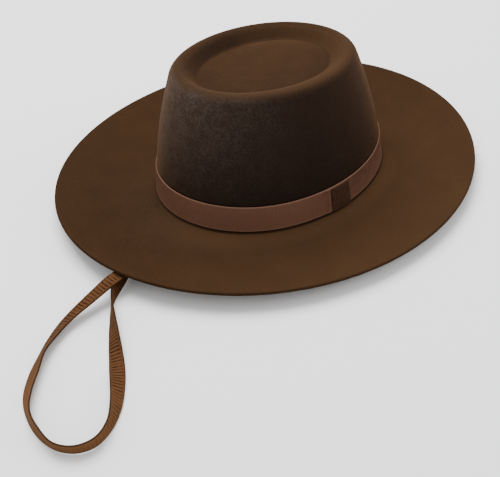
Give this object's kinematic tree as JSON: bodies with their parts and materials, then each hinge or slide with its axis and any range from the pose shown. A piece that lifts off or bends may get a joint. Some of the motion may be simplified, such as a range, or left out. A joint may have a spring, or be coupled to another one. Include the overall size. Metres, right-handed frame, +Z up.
{
  "type": "gaucho hat",
  "caption": "Wide-brimmed felt hat with a low telescope crown, a ribbon band with a keeper, and a loose ribbon chin strap lying on the surface in front of it.",
  "frame": {"origin": "on the surface that the hat rests on, under the middle of the brim's outline", "axes": "+Z up; +Y towards the back of the hat, so that its wearer faces -Y; +X towards the wearer's left"},
  "size_m": [0.329, 0.4792, 0.1049],
  "materials": {
    "felt": "dark brown pressed wool felt with a short, fine nap",
    "band_ribbon": "matt red-brown grosgrain ribbon with fine upright ribs",
    "keeper_ribbon": "matt dark brown grosgrain ribbon",
    "strap_ribbon": "matt tan-brown ribbed ribbon with smooth edges"
  },
  "bodies": {
    "root": {"felt_body": "felt", "hat_band": "band_ribbon", "band_keeper": "keeper_ribbon", "chin_strap": "strap_ribbon"}
  },
  "joints": []
}
